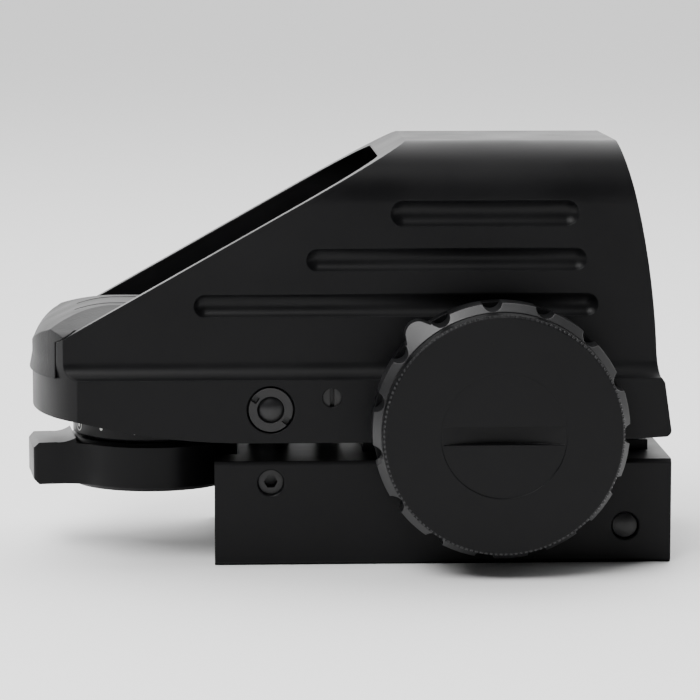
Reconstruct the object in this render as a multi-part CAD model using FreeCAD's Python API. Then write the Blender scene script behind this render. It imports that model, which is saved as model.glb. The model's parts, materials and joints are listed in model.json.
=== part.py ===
import FreeCAD
import Part
import math
import os

# Reflex red dot finder on a dovetail rail clamp, millimetres.
# Origin: middle of the rail seat. +X points to the front lens, +Z up, -Y is the dial side.

# ---- base and rail clamp ----
BASE_REAR = -29.2
BASE_FRONT = 29.4
BASE_SIDE = 17.8
BASE_FAR = 11.0
BASE_TOP = 7.15
BASE_BOTTOM = -6.3
BASE_EDGE = 0.45
SEAT_STEP = 0.2
RAIL_HALF = 10.7
RAIL_FLAT = 7.85
RAIL_SHOULDER = -2.85
RAIL_WAIST = -3.4
RAIL_LIP = 8.1
RAIL_LIP_Z = -6.0
SLOT_HALF = 2.0
BOLT_X = (23.5, 3.5)
BOLT_Z = -1.5
BOLT_R = 1.6
BOLT_HEAD_R = 3.6
JAW_OUT = 17.0
NOTCH_X = -26.1
NOTCH_Y = 11.9
POST_SCREW_Z = 4.4
POST_SCREW_R = 1.6

# ---- adjusters ----
POST_X = -22.0
POST_R = 2.8
POST_TOP = 16.6
WINDAGE_Z = 14.0
WINDAGE_R = 1.5
WINDAGE_HEAD_R = 1.7
WINDAGE_DOME_R = 3.4
WINDAGE_RING_R = 2.8
ELEV_X = -14.2
ELEV_R = 1.8
LOCK_Z = 15.5
LOCK_R = 1.2
KING_X = 24.0
KING_R = 2.0
TILT_R = 1.5
TILT_Z = 13.0
PLATE_TOP = 8.6
PLATE_REAR = -9.9
PLATE_FRONT = 27.2
PLATE_HALF = 11.0
LUG_HALF = 5.8

# ---- housing ----
LOW_HALF = 19.0
HOOD_HALF = 17.3
WALL = 2.0
LOW_BOTTOM = 9.7
LOW_TOP = 17.8
COVE_TOP = 19.94
COVE_R = 2.2
DECK = 20.0
ROOF = 47.6
ROOF_R = 7.6
RIM_FOOT = (-48.3, 22.9)
RIM_SLOPE = math.tan(math.radians(29.4))
BELLY_X = (-24.5, -46.5)
BELLY_R = 88.0
BELLY_END_Z = 12.95
REAR_X = -53.1
HOOD_REAR = -49.25
# each flute: rear end, front end, height, half width, depth
FLUTE_ROWS = ((-6.7, 17.3, 38.8, 1.65, 0.9), (-17.4, 18.3, 32.9, 1.45, 0.8), (-31.7, 19.8, 27.1, 1.45, 0.8))
BAY_X = (-9.0, 18.0)
BAY_Y = 14.5
BAY_Z = (11.2, 18.0)
BAY_LIP = 0.7
BAY_POST_R = 1.8
BOARD_Z = (13.4, 14.4)

# ---- lens ----
LENS_R = 120.0
LENS_T = 2.4
LENS_FRONT = 20.6
LENS_AXIS_Z = 30.0

# ---- reticle selector ----
SEL_X = -37.4
DISC_R = 10.9
DISC_Z = (2.1, 8.4)
NECK_R = 9.3
DRUM_R = 10.5
DRUM_Z = (8.7, 17.4)
DRUM_GAP = 0.35
STEM_R = 6.5
STEM_TOP = 22.6
CUP_R = 5.3
TAB_END = 16.1
TAB_HALF = 5.0
TAB_Z = (2.55, 8.05)
TAB_TURN = 7.0
LIGHT_Z = 21.2
EMITTER_Z = (23.7, 24.4)
SYMBOLS = 4
SYMBOL_STEP = 26.6

# ---- rear cover ----
COVER_TOP = 26.0
COVER_SEAM = -49.35
COVER_FRONT = -27.6
COVER_WALL = 1.3
COVER_FLARE = 0.35
FLARE_TOP = 19.6
RIDGE_HALF = 6.0
RIDGE_GROOVE_Y = 3.5
EAR_HALF = 17.2
COVER_HEAD_Z = (13.0, 14.0)

# ---- brightness dial ----
DIAL_X = 6.8
DIAL_Z = 12.1
FLANGE_R = 15.9
FLANGE_Y = (-19.0, -21.4)
KNOB_R = 16.2
KNOB_BORE = 12.5
SCALLOP_R = 1.3
SCALLOP_AT = 16.5
KNOB_Y = (-21.8, -26.6)
CAP_R = 15.1
WIRE_UP = 4.2
SPINDLE_R = 1.2
CAP_Y = (-26.9, -29.6)
LOBES = 15
LUG_ANGLE = 130.5
LUG_R = 17.6
CELL_R = 10.0
CELL_T = 3.2
SEAL_R = 13.3
SEAL_T = 0.42
COIN_R = 20.0

FIT = 0.03
V = FreeCAD.Vector
AX = V(1, 0, 0)
AY = V(0, 1, 0)
AZ = V(0, 0, 1)


def box(x0, x1, y0, y1, z0, z1):
    return Part.makeBox(x1 - x0, y1 - y0, z1 - z0, V(x0, y0, z0))


def cyl_x(r, x0, x1, y, z):
    return Part.makeCylinder(r, x1 - x0, V(x0, y, z), AX)


def cyl_y(r, y0, y1, x, z):
    return Part.makeCylinder(r, y1 - y0, V(x, y0, z), AY)


def cyl_z(r, z0, z1, x, y):
    return Part.makeCylinder(r, z1 - z0, V(x, y, z0), AZ)


def tube_y(r_out, r_in, y0, y1, x, z):
    return cyl_y(r_out, y0, y1, x, z).cut(cyl_y(r_in, y0 - 1, y1 + 1, x, z))


def tube_z(r_out, r_in, z0, z1, x, y):
    return cyl_z(r_out, z0, z1, x, y).cut(cyl_z(r_in, z0 - 1, z1 + 1, x, y))


def fuse(shapes):
    out = shapes[0]
    for s in shapes[1:]:
        out = out.fuse(s)
    return out.removeSplitter()


def outline(steps, place):
    """Closed face from steps: a point draws a line, a pair of points draws an arc through the first."""
    first = place(*steps[0])
    here = first
    edges = []
    for step in steps[1:]:
        if isinstance(step[0], tuple):
            mid = place(*step[0])
            end = place(*step[1])
            edges.append(Part.Arc(here, mid, end).toShape())
        else:
            end = place(*step)
            edges.append(Part.makeLine(here, end))
        here = end
    if here.sub(first).Length > 1e-6:
        edges.append(Part.makeLine(here, first))
    return Part.Face(Part.Wire(edges))


def along_x(steps, x0, x1):
    return outline(steps, lambda y, z: V(x0, y, z)).extrude(V(x1 - x0, 0, 0))


def along_y(steps, y0, y1):
    return outline(steps, lambda x, z: V(x, y0, z)).extrude(V(0, y1 - y0, 0))


def along_z(steps, z0, z1):
    return outline(steps, lambda x, y: V(x, y, z0)).extrude(V(0, 0, z1 - z0))


def turned_y(shape, degrees, x, z):
    out = shape.copy()
    out.rotate(V(x, 0, z), AY, degrees)
    return out


def turned_z(shape, degrees, x, y):
    out = shape.copy()
    out.rotate(V(x, y, 0), AZ, degrees)
    return out


def mirrored_y(shape):
    return shape.mirror(V(0, 0, 0), AY)


def hex_socket_y(across, y0, y1, x, z):
    r = across / math.sqrt(3)
    pts = [(x + r * math.cos(math.radians(60 * k)), z + r * math.sin(math.radians(60 * k))) for k in range(6)]
    return along_y(pts, y0, y1)


def countersunk_y(r, chamfer, y_face, y1, x, z):
    """Drill from y_face inwards with a chamfered mouth."""
    mouth = Part.makeCone(r + 2 * chamfer, r, 2 * chamfer, V(x, y_face - chamfer, z), AY)
    return cyl_y(r, y_face - 1, y1, x, z).fuse(mouth)


# ---------------------------------------------------------------- base
def rail_channel(y_low, y_high):
    """Space of the dovetail rail between the two jaws, limited to y_low..y_high."""
    half = [(RAIL_FLAT, 0), (RAIL_HALF, RAIL_SHOULDER), (RAIL_HALF, RAIL_WAIST), (RAIL_LIP, RAIL_LIP_Z)]
    half.append((RAIL_LIP, BASE_BOTTOM - 1))
    other = [(-y, z) for y, z in reversed(half)]
    channel = along_x(half + other, BASE_REAR - 1, BASE_FRONT + 1)
    return channel.common(box(BASE_REAR - 2, BASE_FRONT + 2, y_low, y_high, BASE_BOTTOM - 2, 1))


def base_block():
    c = BASE_EDGE
    side = -BASE_SIDE
    far = BASE_FAR
    section = [(side + c, BASE_BOTTOM), (side, BASE_BOTTOM + c), (side, BASE_TOP - c), (side + c, BASE_TOP)]
    section += [(far - c, BASE_TOP), (far, BASE_TOP - c), (far, SEAT_STEP), (RAIL_FLAT, SEAT_STEP)]
    section += [(RAIL_FLAT, 0), (-RAIL_FLAT, 0), (-RAIL_FLAT, BASE_BOTTOM)]
    block = along_x(section, BASE_REAR, BASE_FRONT)
    block = block.cut(rail_channel(-RAIL_HALF - 1, 0))
    block = block.cut(box(BASE_REAR - 1, NOTCH_X, -NOTCH_Y, far + 1, -1, BASE_TOP + 1))
    for x in BOLT_X:
        block = block.cut(box(x - SLOT_HALF, x + SLOT_HALF, -RAIL_LIP - 3, far + 1, -1, 0.6))
        block = block.cut(countersunk_y(BOLT_R + 0.1, 0.2, side, 0, x, BOLT_Z))
    # post bore, its clamp screw hole and the king pin bore
    block = block.cut(cyl_z(POST_R + 0.05, -1, BASE_TOP + 1, POST_X, 0))
    block = block.cut(countersunk_y(POST_SCREW_R + 0.03, 0.15, side, 0, POST_X, POST_SCREW_Z))
    return block.cut(cyl_z(KING_R, 0.8, BASE_TOP + 1, KING_X, 0))


def post_clamp_screw():
    y0 = -BASE_SIDE + 0.9
    screw = cyl_y(POST_SCREW_R, y0, -POST_R - 0.06, POST_X, POST_SCREW_Z)
    return screw.cut(hex_socket_y(1.5, y0 - 1, y0 + 2.0, POST_X, POST_SCREW_Z))


def clamp_jaw():
    y0 = BASE_FAR + 0.3
    c = 0.5
    shelf = -0.4
    section = [(RAIL_LIP - 0.6, BASE_BOTTOM), (JAW_OUT - c, BASE_BOTTOM), (JAW_OUT, BASE_BOTTOM + c)]
    section += [(JAW_OUT, 5.0), (JAW_OUT - 1.2, BASE_TOP - 0.6), (y0, BASE_TOP - 0.6), (y0, shelf)]
    section.append((RAIL_FLAT, shelf))
    jaw = along_x(section, BASE_REAR, BASE_FRONT).cut(rail_channel(0, RAIL_HALF + 1))
    for x in BOLT_X:
        jaw = jaw.cut(cyl_y(BOLT_R + 0.3, 0, JAW_OUT + 1, x, BOLT_Z))
    return jaw


def clamp_bolt(x):
    """Cross bolt: domed end in the base's side, socket head outside the jaw."""
    y0 = -BASE_SIDE + 0.05
    y1 = JAW_OUT + 0.3
    dome_r = 4.0
    shank = cyl_y(BOLT_R, y0, y1, x, BOLT_Z)
    dome = Part.makeSphere(dome_r, V(x, y0 + dome_r, BOLT_Z)).fuse(box(x - 4, x + 4, y0 + dome_r, y1, -6, 4))
    head = cyl_y(BOLT_HEAD_R, y1, y1 + 2.9, x, BOLT_Z)
    bolt = fuse([shank.common(dome), head])
    return bolt.cut(hex_socket_y(3.0, y1 + 1.2, y1 + 3.5, x, BOLT_Z))


# ---------------------------------------------------------------- pivot and adjusters
def pivot_block():
    """Swinging plate on the base with the lug that carries the tilt pin."""
    half = LUG_HALF
    lug_r = 3.0
    plate = box(PLATE_REAR, PLATE_FRONT, -PLATE_HALF, PLATE_HALF, BASE_TOP + 0.1, PLATE_TOP)
    lug = box(KING_X - lug_r, KING_X + lug_r, -half, half, PLATE_TOP, TILT_Z)
    block = fuse([plate, lug, cyl_y(lug_r, -half, half, KING_X, TILT_Z)])
    block = block.cut(cyl_z(KING_R + FIT, 0, 10.3, KING_X, 0))
    return block.cut(cyl_y(TILT_R + FIT, -half - 1, half + 1, KING_X, TILT_Z))


def adjuster_post():
    post = cyl_z(POST_R, 1.3, POST_TOP, POST_X, 0)
    return post.cut(cyl_y(WINDAGE_R + 0.2, -4, 4, POST_X, WINDAGE_Z))


def windage_screw():
    """Cross screw with a domed outer end."""
    y0 = -LOW_HALF
    head = cyl_y(WINDAGE_HEAD_R, y0, y0 + 1.55, POST_X, WINDAGE_Z)
    head = head.common(Part.makeSphere(WINDAGE_DOME_R, V(POST_X, y0 + WINDAGE_DOME_R, WINDAGE_Z)))
    return fuse([head, cyl_y(WINDAGE_R, y0 + 1.55, 3.6, POST_X, WINDAGE_Z)])


def windage_ring():
    """Collar pressed on the windage screw, with two notches for a pin spanner."""
    y0 = -LOW_HALF - 0.05
    ring = tube_y(WINDAGE_RING_R, WINDAGE_HEAD_R + 0.02, y0, y0 + 1.4, POST_X, WINDAGE_Z)
    inner = POST_X + WINDAGE_HEAD_R + 0.3
    for angle in (35, 215):
        cut = box(inner, inner + 2, y0 - 1, y0 + 0.8, WINDAGE_Z - 0.45, WINDAGE_Z + 0.45)
        ring = ring.cut(turned_y(cut, angle, POST_X, WINDAGE_Z))
    return ring


def elevation_screw():
    tip = Part.makeCone(ELEV_R - 0.4, ELEV_R, 0.4, V(ELEV_X, 0, BASE_TOP + 0.1), AZ)
    shank = cyl_z(ELEV_R, BASE_TOP + 0.5, 19.3, ELEV_X, 0)
    head = cyl_z(2.6, 19.3, 20.9, ELEV_X, 0)
    screw = fuse([tip, shank, head])
    return screw.cut(box(ELEV_X - 3, ELEV_X + 3, -0.35, 0.35, 20.1, 22))


def elevation_seal():
    return Part.makeTorus(ELEV_R + 0.46, 0.4, V(ELEV_X, 0, 18.85), AZ)


def elevation_lock_screw():
    y0 = -LOW_HALF + 0.35
    screw = cyl_y(LOCK_R, y0, -10.0, ELEV_X, LOCK_Z)
    return screw.cut(box(ELEV_X - 0.28, ELEV_X + 0.28, y0 - 1, y0 + 0.9, LOCK_Z - 2, LOCK_Z + 2))


# ---------------------------------------------------------------- housing
def hood_section(half, top, r, low):
    """Closed cross section (y, z) of the hood: straight sides and a roof rounded at both corners."""
    d = r * (1 - math.sqrt(0.5))
    steps = [(-half, low), (-half, top - r), ((-half + d, top - d), (-half + r, top))]
    steps += [(half - r, top), ((half - d, top - d), (half, top - r)), (half, low)]
    return steps


def housing_section():
    """Cross section of the whole housing: lower body, concave cove and rounded hood."""
    d = ROOF_R * (1 - math.sqrt(0.5))
    h = HOOD_HALF
    w = LOW_HALF
    turn = math.atan2(COVE_TOP - LOW_TOP, h + COVE_R - w) / 2
    cove = (h + COVE_R - COVE_R * math.cos(turn), COVE_TOP - COVE_R * math.sin(turn))
    steps = [(-w + 0.3, LOW_BOTTOM - 3), (-w, LOW_BOTTOM - 2), (-w, LOW_TOP)]
    steps += [((-cove[0], cove[1]), (-h, COVE_TOP))]
    steps += [(-h, ROOF - ROOF_R), ((-h + d, ROOF - d), (-h + ROOF_R, ROOF))]
    steps += [(h - ROOF_R, ROOF), ((h - d, ROOF - d), (h, ROOF - ROOF_R)), (h, COVE_TOP)]
    steps += [(cove, (w, LOW_TOP)), (w, LOW_BOTTOM - 2), (w - 0.3, LOW_BOTTOM - 3)]
    return steps


def belly_z(x):
    return LOW_BOTTOM + BELLY_R - math.sqrt(BELLY_R**2 - (x - BELLY_X[0]) ** 2)


def rim_z(x):
    return RIM_FOOT[1] + RIM_SLOPE * (x - RIM_FOOT[0])


def low_profile():
    """Side outline of the lower body, with the belly rising to the rear."""
    rear = REAR_X - 1
    front, back = BELLY_X
    mid = (front + back) / 2
    steps = [(rear, LOW_TOP), (rear, BELLY_END_Z), (back, belly_z(back))]
    steps += [((mid, belly_z(mid)), (front, LOW_BOTTOM)), (18.0, LOW_BOTTOM), (28.3, LOW_BOTTOM + 0.5)]
    steps += [((29.0, 10.5), (29.15, 11.3)), (28.3, 17.2), (27.9, LOW_TOP)]
    return steps


def hood_profile():
    """Side outline of the hood: slanted rim, flat roof and curved front edge."""
    peak = RIM_FOOT[0] + (ROOF - RIM_FOOT[1]) / RIM_SLOPE
    low = LOW_TOP - 1
    steps = [(HOOD_REAR, low), (HOOD_REAR, rim_z(HOOD_REAR)), (peak, ROOF), (22.7, ROOF)]
    steps += [((25.8, 35.0), (27.3, 22.4)), ((27.5, 19.6), (28.0, low))]
    return steps


def rear_plan(grow, z):
    """Plan outline at height z with the softly curved rear end; grow pushes it outwards."""
    side = [(-46.5, LOW_HALF), (-48.4, 17.2), (-50.8, 13.2), (-52.5, 7.4)]
    w = LOW_HALF + grow * 0.4
    front = 40.0
    right = [V(x - grow, -y - grow * 0.4, z) for x, y in side]
    left = [V(p.x, -p.y, z) for p in reversed(right)]
    curve = Part.BSplineCurve()
    curve.interpolate(right + [V(REAR_X - grow, 0, z)] + left)
    edges = [curve.toShape(), Part.makeLine(left[-1], V(front, w, z))]
    edges += [Part.makeLine(V(front, w, z), V(front, -w, z)), Part.makeLine(V(front, -w, z), right[0])]
    return Part.Wire(edges)


def flute(x0, x1, z, half_h, depth):
    """Round-bottomed groove with rounded ends in the dial-side hood wall."""
    r = (half_h**2 + depth**2) / (2 * depth)
    y = -HOOD_HALF - (r - depth)
    x0 += half_h
    x1 -= half_h
    return cyl_x(r, x0, x1, y, z).fuse(Part.makeSphere(r, V(x0, y, z))).fuse(Part.makeSphere(r, V(x1, y, z)))


def bay_space():
    """Electronics bay, with a screw post left standing in each corner."""
    x0, x1 = BAY_X
    z0, z1 = BAY_Z
    bay = box(x0, x1, -BAY_Y, BAY_Y, LOW_BOTTOM - 1, z1)
    for x, y in bottom_screw_spots():
        bay = bay.cut(cyl_z(BAY_POST_R, z0, z1 + 1, x, y))
    lip = BAY_LIP
    return bay.fuse(box(x0 - lip, x1 + lip, -BAY_Y - lip, BAY_Y + lip, LOW_BOTTOM - 1, z0))


def housing_bores():
    """Everything cut from the lower body for shafts, screws and electronics."""
    x0 = BAY_X[0]
    z1 = BAY_Z[1]
    outside = -LOW_HALF - 1
    below = LOW_BOTTOM - 1
    cuts = [bay_space()]
    # drum pocket and the chamber of its stem
    cuts.append(cyl_z(DRUM_R + DRUM_GAP, below, DRUM_Z[1] + 0.3, SEL_X, 0))
    cuts.append(cyl_z(STEM_R + DRUM_GAP, LOW_BOTTOM, DECK + 8, SEL_X, 0))
    # post pocket, windage bore with its ring seat
    cuts.append(cyl_z(POST_R + 1.3, below, POST_TOP + 0.9, POST_X, 0))
    cuts.append(cyl_y(WINDAGE_R + FIT, outside, 4.6, POST_X, WINDAGE_Z))
    cuts.append(cyl_y(WINDAGE_RING_R + 0.25, outside, -LOW_HALF + 1.65, POST_X, WINDAGE_Z))
    # elevation screw with its sunk head, and the lock screw bore
    cuts.append(cyl_z(ELEV_R + FIT, below, DECK + 1, ELEV_X, 0))
    cuts.append(cyl_z(3.0, 17.3, DECK + 1, ELEV_X, 0))
    cuts.append(cyl_y(LOCK_R, outside, 0, ELEV_X, LOCK_Z))
    # pivot lug pocket and tilt pin bore
    cuts.append(box(KING_X - 3.4, KING_X + 3.4, -LUG_HALF - 0.4, LUG_HALF + 0.4, below, TILT_Z + 3.5))
    cuts.append(cyl_y(TILT_R, -12, 12, KING_X, TILT_Z))
    # dial spindle hole, wire hole and flange screw holes
    cuts.append(cyl_y(2.0, outside, -BAY_Y + 1, DIAL_X, DIAL_Z))
    cuts.append(cyl_y(0.9, outside, -BAY_Y + 1, DIAL_X, DIAL_Z + WIRE_UP))
    cuts += [cyl_y(0.9, outside, -15.2, x, z) for x, z in flange_screw_spots()]
    # bottom cover screw holes, and rear cover screws from below
    cuts += [cyl_z(0.8, LOW_BOTTOM, z1 - 3, x, y) for x, y in bottom_screw_spots()]
    for x, y in cover_screw_spots():
        cuts.append(cyl_z(0.85, below, LOW_TOP + 1, x, y))
        cuts.append(cyl_z(1.75, below, COVER_HEAD_Z[1], x, y))
    # wire channel from the electronics bay to the emitter well
    cuts.append(box(-30.5, x0 + 1, 7.0, 10.0, 15.0, 17.0))
    cuts.append(box(-31.5, -28.9, 7.0, 10.0, 15.0, LOW_TOP + 1))
    return cuts


def tunnel_section(inset, low):
    """Section of the sight tunnel inside the walls, shrunk by inset."""
    return hood_section(HOOD_HALF - WALL - inset, ROOF - WALL - inset, ROOF_R - WALL, low + inset)


def main_housing():
    body = along_x(housing_section(), REAR_X - 1, 30)
    low = along_y(low_profile(), -LOW_HALF - 1, LOW_HALF + 1)
    hood = along_y(hood_profile(), -LOW_HALF - 1, LOW_HALF + 1)
    plan = Part.Face(rear_plan(0.0, 0)).extrude(V(0, 0, 60))
    body = body.common(low.fuse(hood)).common(plan)
    # sight tunnel over the deck; the rear cover sits between the walls on a lower floor
    inside = HOOD_HALF - WALL
    body = body.cut(along_x(tunnel_section(0, DECK), COVER_FRONT + 0.1, 40))
    body = body.cut(box(REAR_X - 2, COVER_FRONT + 0.11, -inside, inside, LOW_TOP, 60))
    for row in FLUTE_ROWS:
        groove = flute(*row)
        body = body.cut(groove).cut(mirrored_y(groove))
    for c in housing_bores():
        body = body.cut(c)
    return body


def lens_ball(r):
    return Part.makeSphere(r, V(LENS_FRONT - LENS_R - LENS_T, 0, LENS_AXIS_Z))


def front_lens():
    blank = along_x(tunnel_section(0.02, DECK), 10, 30)
    return blank.common(lens_ball(LENS_R + LENS_T)).cut(lens_ball(LENS_R))


def lens_retainer():
    """Frame in front of the lens, shaped to the lens at its back."""
    width = 1.4
    outer = along_x(tunnel_section(0.02, DECK), 15, 22.4)
    window = hood_section(HOOD_HALF - WALL - width, ROOF - WALL - width, ROOF_R - WALL - width, DECK + width)
    return outer.cut(along_x(window, 14, 24)).cut(lens_ball(LENS_R + LENS_T))


# ---------------------------------------------------------------- bottom cover and electronics
def bottom_screw_spots():
    return [(x, y) for x in (BAY_X[0] + 1.5, BAY_X[1] - 1.5) for y in (-BAY_Y + 1.5, BAY_Y - 1.5)]


def bottom_cover():
    edge = BAY_LIP - 0.05
    z0 = BAY_Z[0]
    plate = box(BAY_X[0] - edge, BAY_X[1] + edge, -BAY_Y - edge, BAY_Y + edge, LOW_BOTTOM, z0 - 0.02)
    standoffs = [cyl_z(1.2, z0 - 0.1, BOARD_Z[0], x, y) for x in (-6.5, 15.5) for y in (-7, 7)]
    cover = fuse([plate] + standoffs)
    for x, y in bottom_screw_spots():
        cover = cover.cut(cyl_z(0.85, LOW_BOTTOM - 1, z0 + 1, x, y))
        cover = cover.cut(cyl_z(1.6, LOW_BOTTOM - 1, LOW_BOTTOM + 0.9, x, y))
    return cover


def bottom_cover_screws():
    z0 = LOW_BOTTOM
    out = []
    for x, y in bottom_screw_spots():
        screw = fuse([cyl_z(1.5, z0, z0 + 0.85, x, y), cyl_z(0.8, z0 + 0.85, BAY_Z[1] - 3, x, y)])
        out.append(screw.cut(box(x - 1.0, x + 1.0, y - 0.2, y + 0.2, z0 - 1, z0 + 0.4)))
    return Part.makeCompound(out)


def driver_board():
    z0, z1 = BOARD_Z
    board = box(BAY_X[0] + 0.6, BAY_X[1] - 0.6, -10.5, 10.5, z0, z1)
    return board.cut(cyl_z(0.7, z0 - 1, z1 + 1, 12, 6))


def board_parts():
    z = BOARD_Z[1]
    chip = box(-1.5, 4.0, -3.0, 3.0, z, z + 1.5)
    others = [box(8 + 3 * k, 9.2 + 3 * k, -5, -2.6, z, z + 0.8) for k in range(3)]
    return Part.makeCompound([chip] + others)


# ---------------------------------------------------------------- reticle selector
def about_selector(steps):
    """Solid of revolution about the selector's axis from (radius, z) steps."""
    return outline(steps, lambda r, z: V(SEL_X + r, 0, z)).revolve(V(SEL_X, 0, 0), AZ, 360)


def selector_tab():
    """Finger tab blended into the disc by a fillet on each side, its top curving up to the drum."""
    z0, z1 = TAB_Z
    half = TAB_HALF
    end = SEL_X - TAB_END
    fillet = 5.0
    reach = math.sqrt((DISC_R + fillet) ** 2 - (half + fillet) ** 2)
    turn = math.atan2(half + fillet, reach)
    centre = (SEL_X - reach, half + fillet)
    foot = (SEL_X - DISC_R * math.cos(turn), DISC_R * math.sin(turn))
    lean = (math.pi / 2 - turn) / 2
    waist = (centre[0] + fillet * math.sin(lean), centre[1] - fillet * math.cos(lean))
    r = 0.5
    d = r * (1 - math.sqrt(0.5))
    plan = [(foot[0], -foot[1]), ((waist[0], -waist[1]), (centre[0], -half)), (end + r, -half)]
    plan += [((end + d, -half + d), (end, -half + r)), (end, half - r)]
    plan += [((end + d, half - d), (end + r, half)), (centre[0], half), (waist, foot)]
    drum = SEL_X - DRUM_R - 0.05
    e = 0.7
    side = [(SEL_X, z0), (end + e, z0), (end, z0 + e), (end, z1 - e), (end + e, z1)]
    side += [(drum - 2.6, z1), ((drum - 1.0, z1 + 0.15), (drum, z1 + 0.6))]
    side += [(drum, z1 - 0.1), (SEL_X, z1 - 0.1)]
    return along_z(plan, z0, z1 + 1).common(along_y(side, -10, 10))


def selector_lever():
    """Disc under the drum with its finger tab and the short neck between them."""
    z0, z1 = DISC_Z
    c = 0.5
    r = DISC_R
    disc = about_selector([(0, z0), (r - c, z0), (r, z0 + c), (r, z1 - c), (r - c, z1), (0, z1)])
    neck = about_selector([(0, z1 - 1), (NECK_R, z1 - 1), (NECK_R, DRUM_Z[0]), (0, DRUM_Z[0])])
    lever = fuse([disc, selector_tab(), neck])
    lever = lever.cut(cyl_z(1.3, z0 - 1, DRUM_Z[0] + 1, SEL_X, 0))
    lever = lever.cut(cyl_z(2.9, z0 - 1, z0 + 1.9, SEL_X, 0))
    return turned_z(lever, TAB_TURN, SEL_X, 0)


def reticle_drum():
    z0, z1 = DRUM_Z
    c = 0.2
    drum = about_selector([(0, z0), (DRUM_R - c, z0), (DRUM_R, z0 + c), (DRUM_R, z1), (0, z1)])
    drum = fuse([drum, cyl_z(STEM_R, z1, STEM_TOP, SEL_X, 0)])
    drum = drum.cut(cyl_z(CUP_R, z0 + 7.4, STEM_TOP + 1, SEL_X, 0))
    drum = drum.cut(tube_z(DRUM_R - 1.5, STEM_R, z0 + 3.2, z1 - 1.4, SEL_X, 0))
    drum = drum.cut(cyl_z(1.0, z0 - 1, z0 + 5.5, SEL_X, 0))
    # one mask window for each reticle, facing the lens in turn
    for k in range(SYMBOLS):
        window = cyl_x(0.7, SEL_X + CUP_R - 1, SEL_X + STEM_R + 1, 0, LIGHT_Z)
        drum = drum.cut(turned_z(window, (k - 1) * SYMBOL_STEP, SEL_X, 0))
    return drum


def selector_screw():
    z0 = DISC_Z[0]
    screw = fuse([cyl_z(2.6, z0 + 0.3, z0 + 1.9, SEL_X, 0), cyl_z(1.0, z0 + 1.9, z0 + 11.0, SEL_X, 0)])
    return screw.cut(box(SEL_X - 3, SEL_X + 3, -0.35, 0.35, z0 - 1, z0 + 0.9))


# ---------------------------------------------------------------- emitter
def emitter_board():
    z0, z1 = EMITTER_Z
    board = box(-45.5, -34.6, -5.6, 5.6, z0, z1)
    return board.cut(cyl_z(0.7, z0 - 1, z1 + 1, -43.6, 3.8))


def led_holder():
    holder = box(SEL_X - 2.4, SEL_X + 1.3, -2.2, 2.2, LIGHT_Z - 2.0, EMITTER_Z[0])
    return holder.cut(box(SEL_X + 0.2, SEL_X + 2, -1.3, 1.3, LIGHT_Z - 1.2, LIGHT_Z + 1.2))


def led_emitter():
    body = box(SEL_X + 0.2, SEL_X + 1.3, -1.3, 1.3, LIGHT_Z - 1.2, LIGHT_Z + 1.2)
    dome = Part.makeSphere(0.9, V(SEL_X + 1.1, 0, LIGHT_Z))
    return fuse([body, dome.common(box(SEL_X + 1.2, SEL_X + 3, -2, 2, LIGHT_Z - 2, LIGHT_Z + 2))])


# ---------------------------------------------------------------- rear cover
def cover_screw_spots():
    return [(x, y) for x in (-45.5, -30.5) for y in (-12.5, 12.5)]


def cover_solid(inset):
    """Outline of the hump, shrunk by inset: rounded shoulders, falling away to the rear and the front."""
    top = COVER_TOP - inset
    w = LOW_HALF - inset
    section = [(w, LOW_TOP), (w, 20.9 - inset), ((w - 1.1, 22.6 - inset), (w - 3.2, 23.7 - inset))]
    section += [(RIDGE_HALF, top), (-RIDGE_HALF, top), (-w + 3.2, 23.7 - inset)]
    section += [((-w + 1.1, 22.6 - inset), (-w, 20.9 - inset)), (-w, LOW_TOP)]
    hump = along_x(section, REAR_X - 2, COVER_FRONT - inset)
    rear = REAR_X + inset
    front = COVER_FRONT - inset
    side = [(rear, LOW_TOP), (rear, 21.0), ((rear + 0.8, 22.4 - inset / 2), (rear + 2.6, 23.7 - inset))]
    side += [((-47.2, 25.2 - inset), (-42.8, top)), (front - 4.4, top), (front, 23.0 - inset)]
    side.append((front, LOW_TOP))
    return hump.common(along_y(side, -30, 30))


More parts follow.
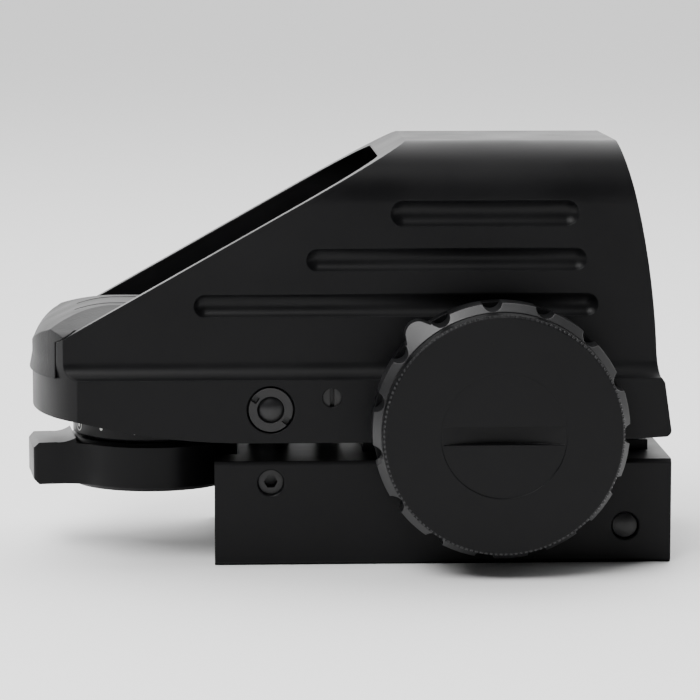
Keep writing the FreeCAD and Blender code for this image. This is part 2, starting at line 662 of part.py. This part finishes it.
def rear_cover():
    inside = HOOD_HALF - WALL - 0.1
    solid = cover_solid(0.0)
    plan = Part.Face(rear_plan(0.0, 0)).extrude(V(0, 0, 60))
    end = solid.common(box(REAR_X - 3, COVER_SEAM, -30, 30, 0, 60)).common(plan)
    # the end flares slightly where it meets the lower body
    skirt = Part.makeLoft([rear_plan(COVER_FLARE, LOW_TOP), rear_plan(0.0, FLARE_TOP)], True, True)
    skirt = skirt.common(box(REAR_X - 3, COVER_SEAM, -30, 30, 0, 60))
    middle = solid.common(box(COVER_SEAM - 1, 0, -inside, inside, 0, 60)).common(plan)
    # small ears that lie over the feet of the hood's rim
    x0 = COVER_SEAM - 0.5
    x1 = x0 + 3.5
    over_rim = [(x0, rim_z(x0) + 0.1), (x1, rim_z(x1) + 0.1), (x1, 30), (x0, 30)]
    ears = along_y(over_rim, -EAR_HALF, EAR_HALF).common(solid).common(plan)
    cover = fuse([end, skirt, middle, ears])
    half = inside - COVER_WALL
    room = cover_solid(COVER_WALL).common(box(-51.0, 0, -half, half, LOW_TOP - 1, 60))
    room = room.common(Part.Face(rear_plan(-COVER_WALL, 0)).extrude(V(0, 0, 60)))
    for x, y in cover_screw_spots():
        room = room.cut(cyl_z(1.9, LOW_TOP - 1, 30, x, y))
    for x in (-44.6, -35.6):
        for y in (-4.4, 4.4):
            room = room.cut(cyl_z(0.8, EMITTER_Z[1], 30, x, y))
    cover = cover.cut(room)
    cover = cover.cut(cyl_x(1.5, -33, COVER_FRONT + 2, 0, LIGHT_Z))
    for x, y in cover_screw_spots():
        cover = cover.cut(cyl_z(0.8, LOW_TOP - 1, 20.2, x, y))
    # two thin grooves along the flat ridge
    for y in (-RIDGE_GROOVE_Y, RIDGE_GROOVE_Y):
        strip = box(-47.4, COVER_FRONT - 4.0, y - 0.32, y + 0.32, 22, COVER_TOP + 1)
        cover = cover.cut(strip.cut(cover_solid(0.45)))
    return cover


def cover_screws():
    z0, z1 = COVER_HEAD_Z
    out = []
    for x, y in cover_screw_spots():
        screw = fuse([cyl_z(1.6, z0, z1, x, y), cyl_z(0.8, z1, 20.0, x, y)])
        out.append(screw.cut(box(x - 1.1, x + 1.1, y - 0.2, y + 0.2, z0 - 1, z0 + 0.5)))
    return Part.makeCompound(out)


# ---------------------------------------------------------------- brightness dial
def flange_screw_spots():
    return [(DIAL_X - 11.8, DIAL_Z + 2.6), (DIAL_X + 11.8, DIAL_Z + 2.6)]


def dial_flange():
    y_back, y_front = FLANGE_Y
    over = y_back + 1
    flange = cyl_y(FLANGE_R, y_front, y_back - 0.02, DIAL_X, DIAL_Z)
    flange = flange.cut(tube_y(9.0, 2.4, y_front - 1, y_front + 1.3, DIAL_X, DIAL_Z))
    flange = flange.cut(cyl_y(SPINDLE_R + FIT, y_front - 1, over, DIAL_X, DIAL_Z))
    flange = flange.cut(cyl_y(0.8, y_front - 1, over, DIAL_X, DIAL_Z + WIRE_UP))
    for x, z in flange_screw_spots():
        flange = flange.cut(cyl_y(1.05, y_front - 1, over, x, z))
        flange = flange.cut(cyl_y(1.8, y_front - 1, y_front + 1.0, x, z))
    return flange


def flange_screws():
    y_front = FLANGE_Y[1]
    out = []
    for x, z in flange_screw_spots():
        head = cyl_y(1.7, y_front + 0.05, y_front + 1.0, x, z)
        screw = fuse([head, cyl_y(0.9, y_front + 1.0, -15.4, x, z)])
        out.append(screw.cut(box(x - 1.2, x + 1.2, y_front - 1, y_front + 0.5, z - 0.2, z + 0.2)))
    return Part.makeCompound(out)


def switch_board():
    y_front = FLANGE_Y[1]
    return tube_y(8.7, 3.0, y_front + 0.6, y_front + 1.3, DIAL_X, DIAL_Z)


def wiper_contact():
    """Sprung copper star on the back of the knob that sweeps the switch board."""
    y = KNOB_Y[0]
    ring = tube_y(4.4, 3.4, y, y + 0.25, DIAL_X, DIAL_Z)
    arms = []
    for k in range(3):
        arm = box(DIAL_X + 4.0, DIAL_X + 7.6, y, y + 0.25, DIAL_Z - 0.6, DIAL_Z + 0.6)
        foot = box(DIAL_X + 6.9, DIAL_X + 7.6, y + 0.2, y + 0.6, DIAL_Z - 0.6, DIAL_Z + 0.6)
        arms += [turned_y(arm, 120 * k, DIAL_X, DIAL_Z), turned_y(foot, 120 * k, DIAL_X, DIAL_Z)]
    return fuse([ring] + arms)


def knob_outline_solid(y0, y1):
    """Scalloped grip: broad lobes, narrow concave scallops and one longer lug."""
    ring = cyl_y(KNOB_R, y0, y1, DIAL_X, DIAL_Z)
    step = 360.0 / LOBES
    for k in range(LOBES):
        a = math.radians(LUG_ANGLE + (k + 0.5) * step)
        x = DIAL_X + SCALLOP_AT * math.cos(a)
        z = DIAL_Z + SCALLOP_AT * math.sin(a)
        ring = ring.cut(cyl_y(SCALLOP_R, y0 - 1, y1 + 1, x, z))
    lug = [(14.0, -3.1), (15.6, -2.3), ((16.4, -1.7), (17.0, -1.35)), ((LUG_R, 0), (17.0, 1.35))]
    lug += [((16.4, 1.7), (15.6, 2.3)), (14.0, 3.1)]
    shape = along_y(lug, y0, y1)
    shape.translate(V(DIAL_X, 0, DIAL_Z))
    return fuse([ring, turned_y(shape, -LUG_ANGLE, DIAL_X, DIAL_Z)])


def brightness_knob():
    y_back, y_front = KNOB_Y
    knob = knob_outline_solid(y_front, y_back)
    # the grip is bevelled at 45 degrees from the cap's edge outwards
    start = CAP_R + 0.1
    depth = y_back - y_front
    knob = knob.common(Part.makeCone(start, start + depth, depth + 0.001, V(DIAL_X, y_front, DIAL_Z), AY))
    knob = knob.cut(cyl_y(KNOB_BORE, y_front - 1, y_back - 1.0, DIAL_X, DIAL_Z))
    return knob.cut(cyl_y(SPINDLE_R, y_front, y_back + 1, DIAL_X, DIAL_Z))


def knob_spindle():
    y_back = KNOB_Y[0]
    rivet = cyl_y(2.0, y_back - 1.5, y_back - 1.0, DIAL_X, DIAL_Z)
    return fuse([rivet, cyl_y(SPINDLE_R, y_back - 1.0, -17.0, DIAL_X, DIAL_Z)])


def spindle_clip():
    return tube_y(1.85, SPINDLE_R, -18.75, -18.2, DIAL_X, DIAL_Z)


def battery():
    y1 = KNOB_Y[0] - 1.55
    y0 = y1 - CELL_T
    can = cyl_y(CELL_R, y0, y1 - 0.6, DIAL_X, DIAL_Z)
    return fuse([can, cyl_y(CELL_R - 0.9, y1 - 0.6, y1, DIAL_X, DIAL_Z)])


def battery_cap():
    y_back, y_front = CAP_Y
    c = 0.3
    rim = cyl_y(CAP_R, y_front, y_back, DIAL_X, DIAL_Z)
    bevel = Part.makeCone(CAP_R - c, CAP_R - c + 4, 4, V(DIAL_X, y_front, DIAL_Z), AY)
    skirt = tube_y(12.4, 10.7, y_back, KNOB_Y[0] - 1.6, DIAL_X, DIAL_Z)
    cap = fuse([rim.common(bevel), skirt])
    # groove of the seal, shallow dish and a coin slot milled with a disc
    cap = cap.cut(tube_y(SEAL_R + 0.55, SEAL_R - 0.55, y_back - 0.75, y_back + 1, DIAL_X, DIAL_Z))
    cap = cap.cut(cyl_y(7.9, y_front - 1, y_front + 0.1, DIAL_X, DIAL_Z))
    disc = cyl_z(COIN_R, -1.15, 1.15, 0, 0)
    disc.translate(V(DIAL_X, y_front + 1.6 - COIN_R, DIAL_Z))
    reach = box(DIAL_X - 7.7, DIAL_X + 7.7, y_front - 1, y_front + 3, DIAL_Z - 2, DIAL_Z + 2)
    return cap.cut(disc.common(reach))


def cap_seal():
    return Part.makeTorus(SEAL_R, SEAL_T, V(DIAL_X, CAP_Y[0] - 0.2, DIAL_Z), AY)


def build():
    fc = {}
    fc["base_block"] = base_block()
    fc["post_clamp_screw"] = post_clamp_screw()
    fc["king_pin"] = cyl_z(KING_R, 0.9, 9.9, KING_X, 0)
    fc["clamp_jaw"] = clamp_jaw()
    fc["clamp_bolt_front"] = clamp_bolt(BOLT_X[0])
    fc["clamp_bolt_rear"] = clamp_bolt(BOLT_X[1])
    fc["pivot_block"] = pivot_block()
    fc["tilt_pin"] = cyl_y(TILT_R, -11.9, 11.9, KING_X, TILT_Z)
    fc["adjuster_post"] = adjuster_post()
    fc["windage_screw"] = windage_screw()
    fc["windage_ring"] = windage_ring()
    fc["elevation_screw"] = elevation_screw()
    fc["elevation_seal"] = elevation_seal()
    fc["elevation_lock_screw"] = elevation_lock_screw()
    fc["elevation_lock_pad"] = cyl_y(LOCK_R - 0.02, -9.9, -ELEV_R - 0.1, ELEV_X, LOCK_Z)
    fc["main_housing"] = main_housing()
    fc["front_lens"] = front_lens()
    fc["lens_retainer"] = lens_retainer()
    fc["bottom_cover"] = bottom_cover()
    fc["bottom_cover_screws"] = bottom_cover_screws()
    fc["driver_board"] = driver_board()
    fc["board_parts"] = board_parts()
    fc["selector_lever"] = selector_lever()
    fc["reticle_drum"] = reticle_drum()
    fc["selector_screw"] = selector_screw()
    fc["emitter_board"] = emitter_board()
    fc["led_holder"] = led_holder()
    fc["led_emitter"] = led_emitter()
    fc["rear_cover"] = rear_cover()
    fc["cover_screws"] = cover_screws()
    fc["dial_flange"] = dial_flange()
    fc["flange_screws"] = flange_screws()
    fc["switch_board"] = switch_board()
    fc["wiper_contact"] = wiper_contact()
    fc["brightness_knob"] = brightness_knob()
    fc["knob_spindle"] = knob_spindle()
    fc["spindle_clip"] = spindle_clip()
    fc["battery"] = battery()
    fc["cap_seal"] = cap_seal()
    fc["battery_cap"] = battery_cap()
    return fc


os.makedirs("parts", exist_ok=True)
for node, shape in build().items():
    shape.exportStep("parts/" + node + ".step")
    print(node, shape.isValid(), len(shape.Solids), round(shape.Volume, 1))
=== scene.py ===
import json
import math

import bmesh
import bpy
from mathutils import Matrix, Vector


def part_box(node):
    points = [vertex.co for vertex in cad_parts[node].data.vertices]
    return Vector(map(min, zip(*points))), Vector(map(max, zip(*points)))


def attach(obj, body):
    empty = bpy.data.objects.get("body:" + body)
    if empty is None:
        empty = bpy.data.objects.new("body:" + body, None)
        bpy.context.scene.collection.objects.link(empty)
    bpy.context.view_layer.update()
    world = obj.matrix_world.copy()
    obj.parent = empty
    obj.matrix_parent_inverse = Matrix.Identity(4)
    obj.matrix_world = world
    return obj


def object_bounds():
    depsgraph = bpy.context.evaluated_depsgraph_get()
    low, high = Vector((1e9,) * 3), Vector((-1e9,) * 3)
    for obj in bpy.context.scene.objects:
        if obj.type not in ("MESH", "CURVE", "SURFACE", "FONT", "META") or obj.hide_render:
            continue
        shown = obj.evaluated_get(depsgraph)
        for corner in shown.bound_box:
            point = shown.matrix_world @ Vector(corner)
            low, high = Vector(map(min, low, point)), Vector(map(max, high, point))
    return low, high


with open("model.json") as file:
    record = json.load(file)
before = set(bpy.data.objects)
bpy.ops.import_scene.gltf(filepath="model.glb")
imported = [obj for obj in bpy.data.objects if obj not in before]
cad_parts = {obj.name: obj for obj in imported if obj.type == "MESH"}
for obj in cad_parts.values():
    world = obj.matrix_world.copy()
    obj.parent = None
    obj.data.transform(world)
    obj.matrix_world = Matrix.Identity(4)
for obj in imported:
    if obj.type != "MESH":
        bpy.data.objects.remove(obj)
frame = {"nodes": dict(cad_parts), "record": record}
cad_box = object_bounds()

MM = 0.001

# ---- places taken from the frame ----
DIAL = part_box("battery_cap")
DIAL_X = (DIAL[0][0] + DIAL[1][0]) / 2
DIAL_Z = (DIAL[0][2] + DIAL[1][2]) / 2
CAP_R = (DIAL[1][0] - DIAL[0][0]) / 2
CAP_FACE_Y = DIAL[0][1]
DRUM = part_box("reticle_drum")
DRUM_X = (DRUM[0][0] + DRUM[1][0]) / 2
DRUM_R = (DRUM[1][0] - DRUM[0][0]) / 2
FLOOR_Z = cad_box[0][2]

# ---- teeth on the cap's front edge ----
TEETH = 150
TOOTH_BEVEL = 0.3 * MM
TOOTH_PROUD = 0.27 * MM
TOOTH_FILL = 0.62
CREST_FILL = 0.4

# ---- painted marks on the drum ----
PAINT_LIFT = 0.02 * MM
MARK_UP = 1.35 * MM
MARK_FIRST = math.radians(205.2)
MARK_STEP = math.radians(26.6)
RING_STEPS = 28
RING_OUTER = 0.8 * MM
RING_INNER = 0.62 * MM
DOT_R = 0.24 * MM
DOT_HOLE = 0.01 * MM
BAR_LONG = 0.5 * MM
BAR_THIN = 0.08 * MM

# ---- finish: noise levels between which colour and gloss change ----
COLOUR_TURN = (0.35, 0.68)
GLOSS_TURN = (0.3, 0.7)
RELIEF = 0.5

# ---- camera, with eye and aim in metres and the lens in millimetres ----
CAMERA_EYE = Vector((-29.0, -419.0, 73.8)) * MM
CAMERA_AIM = Vector((-11.94, -19.0, 21.62)) * MM
CAMERA_LENS = 163.8
CAMERA_SENSOR = 36

# ---- studio: lights are place, target, size in metres and power in watts ----
FLOOR_HALF = 6.0
ROOM_DIM = 0.03
ROOM_BRIGHT = 3.2
ROOM_TURN = (-0.3, 0.75)
LIGHTS = {
    "top_box": ((-0.05, 0.2, 0.75), (0, 0.02, 0.02), (0.9, 0.6), 4),
    "dial_box": ((-0.25, -0.38, 0.6), (-0.02, 0.01, 0.03), (0.35, 0.35), 5),
    "rear_box": ((-0.48, -0.14, 0.62), (-0.02, 0, 0.02), (0.35, 0.35), 2.0),
}


# ---------------------------------------------------------------- materials
def new_material(name):
    """Node material with its Principled shader and a node maker."""
    mat = bpy.data.materials.new(name)
    mat.use_nodes = True
    nodes = mat.node_tree.nodes
    links = mat.node_tree.links
    shader = nodes["Principled BSDF"]

    def node(kind, **values):
        made = nodes.new(kind)
        for key, value in values.items():
            setattr(made, key, value)
        return made

    return mat, shader, node, links


def ramp(node, low, high, colour_low, colour_high):
    made = node("ShaderNodeValToRGB")
    made.color_ramp.elements[0].position = low
    made.color_ramp.elements[1].position = high
    made.color_ramp.elements[0].color = (*colour_low, 1)
    made.color_ramp.elements[1].color = (*colour_high, 1)
    return made


def surface(name, dark, light, rough, metallic, patch, grain, grain_depth, edge=0.12, specular=0.5):
    """Finished solid: patchy colour, uneven gloss, fine grain in relief and softened edges.

    dark, light: colour range; rough: (smoothest, roughest); patch, grain: feature sizes in metres."""
    mat, shader, node, links = new_material(name)
    place = node("ShaderNodeTexCoord")
    broad = node("ShaderNodeTexNoise", noise_dimensions="3D")
    broad.inputs["Scale"].default_value = 1 / patch
    broad.inputs["Detail"].default_value = 6
    links.new(place.outputs["Object"], broad.inputs["Vector"])
    colour = ramp(node, *COLOUR_TURN, dark, light)
    links.new(broad.outputs["Fac"], colour.inputs["Fac"])
    links.new(colour.outputs["Color"], shader.inputs["Base Color"])
    fine = node("ShaderNodeTexNoise", noise_dimensions="3D")
    fine.inputs["Scale"].default_value = 1 / grain
    fine.inputs["Detail"].default_value = 3
    links.new(place.outputs["Object"], fine.inputs["Vector"])
    gloss = node("ShaderNodeMapRange")
    gloss.inputs["From Min"].default_value = GLOSS_TURN[0]
    gloss.inputs["From Max"].default_value = GLOSS_TURN[1]
    gloss.inputs["To Min"].default_value = rough[0]
    gloss.inputs["To Max"].default_value = rough[1]
    links.new(broad.outputs["Fac"], gloss.inputs["Value"])
    links.new(gloss.outputs["Result"], shader.inputs["Roughness"])
    soft = node("ShaderNodeBevel", samples=6)
    soft.inputs["Radius"].default_value = edge * MM
    bump = node("ShaderNodeBump")
    bump.inputs["Strength"].default_value = RELIEF
    bump.inputs["Distance"].default_value = grain_depth
    links.new(fine.outputs["Fac"], bump.inputs["Height"])
    links.new(soft.outputs["Normal"], bump.inputs["Normal"])
    links.new(bump.outputs["Normal"], shader.inputs["Normal"])
    shader.inputs["Metallic"].default_value = metallic
    shader.inputs["Specular IOR Level"].default_value = specular
    return mat


ANODISED = surface("anodised", (0.003, 0.003, 0.0034), (0.0055, 0.0055, 0.006), (0.36, 0.5), 0.0,
                   14 * MM, 0.22 * MM, 0.02 * MM, edge=0.25, specular=0.14)
ANODISED_FINE = surface("anodised_fine", (0.003, 0.003, 0.0034), (0.005, 0.005, 0.0055), (0.32, 0.44), 0.0,
                        10 * MM, 0.16 * MM, 0.012 * MM, edge=0.15, specular=0.14)
# Brightness knob: its gloss and specular are real, but its colour is set lighter than the anodised finish
# as painted highlight, standing in for the lights' reflection on its bevelled lugs.
KNOB_GLOSS_PAINTED_HIGHLIGHT = surface("knob_gloss_painted_highlight", (0.006, 0.006, 0.0066), (0.01, 0.01, 0.011), (0.28, 0.38), 0.0,
               6 * MM, 0.16 * MM, 0.012 * MM, edge=0.15, specular=0.5)
POLYMER = surface("polymer", (0.005, 0.005, 0.0055), (0.008, 0.008, 0.0086), (0.46, 0.6), 0.0,
                  8 * MM, 0.35 * MM, 0.05 * MM, edge=0.3, specular=0.22)
BLACK_STEEL = surface("black_oxide", (0.007, 0.007, 0.008), (0.014, 0.0135, 0.0135), (0.34, 0.5), 0.3,
                      3 * MM, 0.12 * MM, 0.008 * MM, edge=0.1)
STEEL = surface("ground_steel", (0.36, 0.36, 0.37), (0.5, 0.5, 0.51), (0.22, 0.36), 1.0,
                2 * MM, 0.08 * MM, 0.004 * MM)
BRASS = surface("brass", (0.42, 0.27, 0.09), (0.58, 0.4, 0.15), (0.25, 0.4), 1.0,
                2 * MM, 0.1 * MM, 0.004 * MM)
RUBBER = surface("rubber", (0.01, 0.01, 0.01), (0.02, 0.02, 0.02), (0.7, 0.85), 0.0,
                 3 * MM, 0.2 * MM, 0.02 * MM)
BOARD = surface("solder_mask", (0.008, 0.07, 0.03), (0.012, 0.11, 0.045), (0.28, 0.42), 0.0,
                4 * MM, 0.3 * MM, 0.01 * MM)
CELL = surface("nickel", (0.5, 0.49, 0.47), (0.62, 0.61, 0.58), (0.2, 0.32), 1.0,
               4 * MM, 0.1 * MM, 0.004 * MM)
MARK_PAINT = surface("mark_paint", (0.5, 0.5, 0.49), (0.62, 0.62, 0.6), (0.5, 0.65), 0.0,
                     1 * MM, 0.1 * MM, 0.005 * MM)
KNURL = surface("knurl_edge", (0.006, 0.006, 0.007), (0.014, 0.014, 0.015), (0.24, 0.36), 0.25,
                1 * MM, 0.1 * MM, 0.006 * MM, edge=0.05)


def lens_material():
    mat, shader = new_material("coated_lens")[:2]
    shader.inputs["Base Color"].default_value = (0.93, 0.97, 0.98, 1)
    shader.inputs["Roughness"].default_value = 0.02
    shader.inputs["IOR"].default_value = 1.52
    shader.inputs["Transmission Weight"].default_value = 1.0
    shader.inputs["Coat Weight"].default_value = 0.6
    shader.inputs["Coat Tint"].default_value = (1.0, 0.42, 0.3, 1)
    return mat


def led_material():
    mat, shader, node, links = new_material("led_resin")
    facing = node("ShaderNodeLayerWeight")
    facing.inputs["Blend"].default_value = 0.4
    tint = ramp(node, 0.0, 1.0, (0.75, 0.03, 0.02), (0.35, 0.01, 0.01))
    links.new(facing.outputs["Facing"], tint.inputs["Fac"])
    links.new(tint.outputs["Color"], shader.inputs["Base Color"])
    shader.inputs["Roughness"].default_value = 0.12
    shader.inputs["Transmission Weight"].default_value = 0.4
    return mat


LENS = lens_material()
LED = led_material()

FINISH = {
    "anodised_black": ANODISED,
    "black_plastic": POLYMER,
    "black_steel": BLACK_STEEL,
    "plain_steel": STEEL,
    "brass": BRASS,
    "seal_rubber": RUBBER,
    "circuit_board": BOARD,
    "cell_steel": CELL,
    "lens_glass": LENS,
    "led_resin": LED,
}
FINE_NODES = ("battery_cap", "dial_flange", "selector_lever", "reticle_drum", "lens_retainer")


for part in frame["record"]["subparts"]:
    finish = FINISH[part["material_slot"]]
    if part["node"] in FINE_NODES:
        finish = ANODISED_FINE
    # The knob takes the lighter material whose colour carries painted highlight.
    if part["node"] == "brightness_knob":
        finish = KNOB_GLOSS_PAINTED_HIGHLIGHT
    for material_slot in frame["nodes"][part["node"]].material_slots:
        material_slot.material = finish


# ---------------------------------------------------------------- mesh helpers
def mesh_object(name, bm, mat, smooth=True):
    mesh = bpy.data.meshes.new(name)
    bmesh.ops.recalc_face_normals(bm, faces=bm.faces)
    bm.to_mesh(mesh)
    bm.free()
    for poly in mesh.polygons:
        poly.use_smooth = smooth
    obj = bpy.data.objects.new(name, mesh)
    bpy.context.collection.objects.link(obj)
    obj.data.materials.append(mat)
    return obj


def dial_teeth():
    """Fine teeth standing on the bevelled front edge of the battery cap."""
    inset = 0.02 * MM
    half = math.pi / TEETH * TOOTH_FILL
    crest_r = CAP_R - TOOTH_BEVEL + TOOTH_PROUD
    foot = [(CAP_R - TOOTH_BEVEL, inset, -half), (CAP_R - TOOTH_BEVEL, inset, half)]
    foot += [(CAP_R - inset, TOOTH_BEVEL, half), (CAP_R - inset, TOOTH_BEVEL, -half)]
    bm = bmesh.new()

    def corner(r, depth, angle):
        x = DIAL_X + r * math.cos(angle)
        z = DIAL_Z + r * math.sin(angle)
        return bm.verts.new((x, CAP_FACE_Y + depth, z))

    for k in range(TEETH):
        a = 2 * math.pi * k / TEETH
        ring = [corner(r, depth, a + turn) for r, depth, turn in foot]
        left, right = [corner(crest_r, 2 * inset, a + side * half * CREST_FILL) for side in (-1, 1)]
        bm.faces.new((ring[0], ring[1], right, left))
        bm.faces.new((ring[1], ring[2], right))
        bm.faces.new((ring[2], ring[3], left, right))
        bm.faces.new((ring[3], ring[0], left))
        bm.faces.new((ring[3], ring[2], ring[1], ring[0]))
    teeth = mesh_object("cap_edge_teeth", bm, KNURL, smooth=False)
    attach(teeth, "cap")


# ---------------------------------------------------------------- reticle marks on the drum
def drum_point(angle, height):
    """Point of paint on the drum's side; angle about its axis, height along it."""
    r = DRUM_R + PAINT_LIFT
    return Vector((DRUM_X + r * math.cos(angle), r * math.sin(angle), height))


def painted_ring(bm, angle, height, outer, inner):
    """Flat ring of paint bent round the drum's side; a dot has a hole too small to see."""
    rows = []
    for radius in (inner, outer):
        row = []
        for k in range(RING_STEPS):
            t = 2 * math.pi * k / RING_STEPS
            across = radius * math.cos(t) / DRUM_R
            row.append(bm.verts.new(drum_point(angle + across, height + radius * math.sin(t))))
        rows.append(row)
    for k in range(RING_STEPS):
        n = (k + 1) % RING_STEPS
        bm.faces.new((rows[0][k], rows[0][n], rows[1][n], rows[1][k]))


def painted_bar(bm, angle, height, half_w, half_h):
    corners = ((-half_w, -half_h), (half_w, -half_h), (half_w, half_h), (-half_w, half_h))
    bm.faces.new([bm.verts.new(drum_point(angle + u / DRUM_R, height + v)) for u, v in corners])


def reticle_marks():
    """Four plain signs, one per reticle: ringed dot, dot, cross, ringed cross."""
    bm = bmesh.new()
    height = DRUM[0][2] + MARK_UP
    signs = (("ring", "dot"), ("dot",), ("cross",), ("ring", "cross"))
    for k, sign in enumerate(signs):
        angle = MARK_FIRST + k * MARK_STEP
        if "ring" in sign:
            painted_ring(bm, angle, height, RING_OUTER, RING_INNER)
        if "dot" in sign:
            painted_ring(bm, angle, height, DOT_R, DOT_HOLE)
        if "cross" in sign:
            painted_bar(bm, angle, height, BAR_LONG, BAR_THIN)
            painted_bar(bm, angle, height, BAR_THIN, BAR_LONG)
    marks = mesh_object("reticle_marks", bm, MARK_PAINT, smooth=False)
    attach(marks, "selector")


dial_teeth()
reticle_marks()


# ---------------------------------------------------------------- stage, light and camera
def area_light(name, place, target, size, power):
    data = bpy.data.lights.new(name, "AREA")
    data.energy = power
    data.shape = "RECTANGLE"
    data.size, data.size_y = size
    obj = bpy.data.objects.new(name, data)
    obj.location = place
    obj.rotation_euler = (Vector(target) - Vector(place)).to_track_quat("-Z", "Y").to_euler()
    bpy.context.collection.objects.link(obj)


def build_floor():
    bm = bmesh.new()
    bmesh.ops.create_grid(bm, x_segments=1, y_segments=1, size=FLOOR_HALF)
    floor = mesh_object("studio_floor", bm, None, smooth=False)
    floor.location = (0, 0, FLOOR_Z)
    mat, shader = new_material("pale_floor")[:2]
    shader.inputs["Base Color"].default_value = (0.9, 0.9, 0.9, 1)
    shader.inputs["Roughness"].default_value = 0.9
    floor.data.materials[0] = mat


def build_room():
    """White surroundings, bright behind the finder and dim on the dial side, with three soft lights."""
    world = bpy.data.worlds.new("studio")
    world.use_nodes = True
    nodes = world.node_tree.nodes
    links = world.node_tree.links
    place = nodes.new("ShaderNodeTexCoord")
    split = nodes.new("ShaderNodeSeparateXYZ")
    links.new(place.outputs["Generated"], split.inputs["Vector"])
    level = nodes.new("ShaderNodeMapRange")
    level.interpolation_type = "SMOOTHSTEP"
    level.inputs["From Min"].default_value = ROOM_TURN[0]
    level.inputs["From Max"].default_value = ROOM_TURN[1]
    level.inputs["To Min"].default_value = ROOM_DIM
    level.inputs["To Max"].default_value = ROOM_BRIGHT
    links.new(split.outputs["Y"], level.inputs["Value"])
    links.new(level.outputs["Result"], nodes["Background"].inputs["Strength"])
    nodes["Background"].inputs["Color"].default_value = (1, 1, 1, 1)
    bpy.context.scene.world = world
    for name, (place_at, target, size, power) in LIGHTS.items():
        area_light(name, place_at, target, size, power)


def build_camera():
    """Camera over the dial side, a little to the rear, aimed at the middle of the finder."""
    data = bpy.data.cameras.new("photo_camera")
    data.sensor_width = CAMERA_SENSOR
    data.lens = CAMERA_LENS
    data.clip_start = 0.01
    cam = bpy.data.objects.new("photo_camera", data)
    cam.location = CAMERA_EYE
    cam.rotation_euler = (CAMERA_AIM - CAMERA_EYE).to_track_quat("-Z", "Y").to_euler()
    bpy.context.collection.objects.link(cam)
    bpy.context.scene.camera = cam


build_floor()
build_room()
build_camera()
